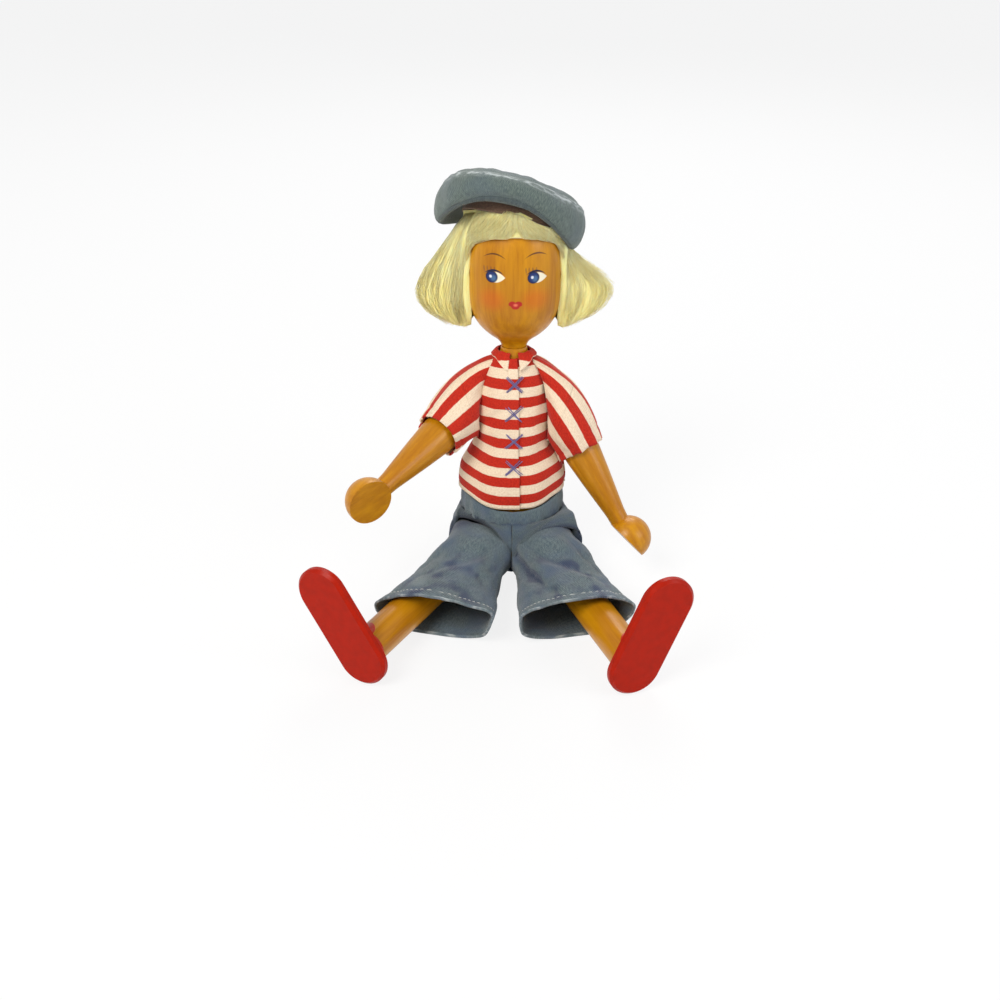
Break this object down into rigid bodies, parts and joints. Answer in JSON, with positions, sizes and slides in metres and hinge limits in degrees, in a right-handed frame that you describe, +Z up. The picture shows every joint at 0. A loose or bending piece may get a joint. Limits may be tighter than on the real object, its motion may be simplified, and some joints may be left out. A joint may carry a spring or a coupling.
{
  "type": "peg wooden doll",
  "caption": "Strung turned-wood doll with peg limbs, ball hands, flat shoes, a mohair bob, a soft flat cap, a striped shirt and wide denim trousers, posed sitting.",
  "frame": {"origin": "on the table, under the middle of the axis that both legs swing about", "axes": "+Z up, the doll faces -Y, and its left side is +X"},
  "size_m": [0.117, 0.111, 0.1367],
  "materials": {
    "wood": "satin honey lacquer over turned beech, with a painted face",
    "hair": "pale blond mohair",
    "denim": "washed grey-blue denim",
    "cap_band": "brown woven band",
    "shirt": "red and cream striped cotton",
    "stitches": "thick blue-violet thread",
    "red_paint": "glossy red enamel over wood",
    "steel": "bright wire",
    "elastic": "white elastic cord"
  },
  "bodies": {
    "torso": {"torso": "wood", "neck_peg": "wood", "shoulder_elastic": "elastic", "hip_elastic": "elastic", "shirt_front_right": "shirt", "shirt_front_left": "shirt", "shirt_back": "shirt", "collar_right": "shirt", "collar_left": "shirt", "front_stitches": "stitches", "waistband": "denim", "trouser_seat": "denim"},
    "head": {"head": "wood", "hair": "hair", "cap_top": "denim", "cap_underside": "denim", "cap_band": "cap_band"},
    "right_shoulder_hook": {"shoulder_hook_right": "steel"},
    "left_shoulder_hook": {"shoulder_hook_left": "steel"},
    "right_arm": {"arm_right": "wood", "arm_pin_right": "steel", "sleeve_right": "shirt"},
    "left_arm": {"arm_left": "wood", "arm_pin_left": "steel", "sleeve_left": "shirt"},
    "right_hip_hook": {"hip_hook_right": "steel"},
    "left_hip_hook": {"hip_hook_left": "steel"},
    "right_leg": {"leg_right": "wood", "leg_pin_right": "steel", "shoe_sole_right": "red_paint", "trouser_leg_right": "denim"},
    "left_leg": {"leg_left": "wood", "leg_pin_left": "steel", "shoe_sole_left": "red_paint", "trouser_leg_left": "denim"}
  },
  "joints": [
    {"name": "head_turn", "type": "hinge", "parent": "torso", "child": "head", "pos_m": [0, 0.00624, 0.07883], "axis": [0, 0.0872, 0.9962], "continuous": true},
    {"name": "arm_swing_right", "type": "hinge", "parent": "torso", "child": "right_shoulder_hook", "pos_m": [-0.015, 0.00436, 0.05731], "axis": [-1, 0, 0], "range_deg": [-92.6, 32.4], "deforming": ["sleeve_right"]},
    {"name": "arm_lift_right", "type": "hinge", "parent": "right_shoulder_hook", "child": "right_arm", "pos_m": [-0.015, 0.00436, 0.05731], "axis": [0, 0.3811, -0.9245], "range_deg": [-6.5, 53], "deforming": ["sleeve_right"]},
    {"name": "arm_swing_left", "type": "hinge", "parent": "torso", "child": "left_shoulder_hook", "pos_m": [0.015, 0.00436, 0.05731], "axis": [-1, 0, 0], "range_deg": [-47.6, 77.4], "deforming": ["sleeve_left"]},
    {"name": "arm_lift_left", "type": "hinge", "parent": "left_shoulder_hook", "child": "left_arm", "pos_m": [0.015, 0.00436, 0.05731], "axis": [0, -0.9232, 0.3843], "range_deg": [0, 60.5], "deforming": ["sleeve_left"]},
    {"name": "leg_swing_right", "type": "hinge", "parent": "torso", "child": "right_hip_hook", "pos_m": [-0.01, 0, 0.0075], "axis": [-1, 0, 0], "range_deg": [-86.8, 8], "deforming": ["trouser_leg_right", "trouser_seat"]},
    {"name": "leg_splay_right", "type": "hinge", "parent": "right_hip_hook", "child": "right_leg", "pos_m": [-0.01, 0, 0.0075], "axis": [0, -0.0314, -0.9995], "range_deg": [-27.5, 12.5], "deforming": ["trouser_leg_right", "trouser_seat"]},
    {"name": "leg_swing_left", "type": "hinge", "parent": "torso", "child": "left_hip_hook", "pos_m": [0.01, 0, 0.0075], "axis": [-1, 0, 0], "range_deg": [-86.8, 8], "deforming": ["trouser_leg_left", "trouser_seat"]},
    {"name": "leg_splay_left", "type": "hinge", "parent": "left_hip_hook", "child": "left_leg", "pos_m": [0.01, 0, 0.0075], "axis": [0, 0.0314, 0.9995], "range_deg": [-20.3, 19.7], "deforming": ["trouser_leg_left", "trouser_seat"]}
  ]
}
